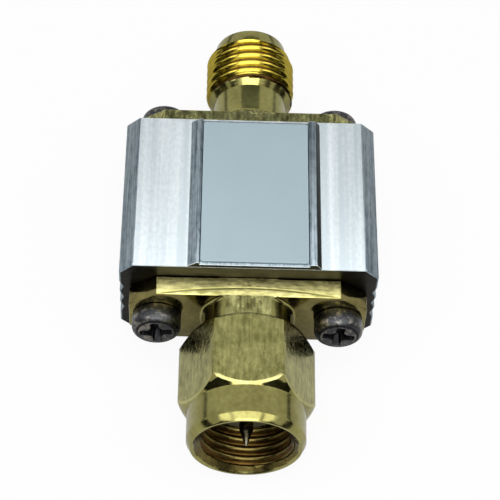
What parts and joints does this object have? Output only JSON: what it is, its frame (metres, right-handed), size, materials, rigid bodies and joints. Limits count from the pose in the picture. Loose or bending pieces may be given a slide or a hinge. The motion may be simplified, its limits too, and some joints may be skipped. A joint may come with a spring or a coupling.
{
  "type": "coaxial bandpass filter",
  "caption": "In-line coaxial bandpass filter: extruded aluminium body with a threaded socket at one end and a plug with a turning hex coupling nut at the other.",
  "frame": {"origin": "centre of the housing's flat back face", "axes": "+Y along the coaxial axis towards the socket end, -Y towards the plug end, +Z out of the labelled face, +X to the right when the socket end points up"},
  "size_m": [0.0172, 0.0333, 0.0082],
  "materials": {
    "bare_aluminium": "satin, extruded",
    "label_film": "matt film",
    "gold_plate": "gold plated",
    "gunmetal": "dark plated",
    "white_insulator": "matt",
    "grey_rubber": "matt",
    "spring_bronze": "bright",
    "board_laminate": "matt",
    "ceramic": "matt",
    "copper_foil": "bright",
    "solder": "bright"
  },
  "bodies": {
    "filter_body": {"housing": "bare_aluminium", "label_plate": "label_film", "female_body": "gold_plate", "female_dielectric": "white_insulator", "female_contact": "gold_plate", "male_body": "gold_plate", "male_dielectric": "white_insulator", "male_pin": "gold_plate", "retaining_ring": "spring_bronze", "gasket": "grey_rubber", "female_screw_left": "gunmetal", "female_screw_right": "gunmetal", "male_screw_left": "gunmetal", "male_screw_right": "gunmetal", "circuit_board": "board_laminate", "filter_chip": "ceramic", "input_trace": "copper_foil", "output_trace": "copper_foil", "input_solder": "solder", "output_solder": "solder"},
    "nut": {"coupling_nut": "gold_plate"}
  },
  "joints": [
    {"name": "coupling_nut_spin", "type": "hinge", "parent": "filter_body", "child": "nut", "pos_m": [0, -0.01362, 0.00385], "axis": [0, 1, 0], "continuous": true}
  ]
}
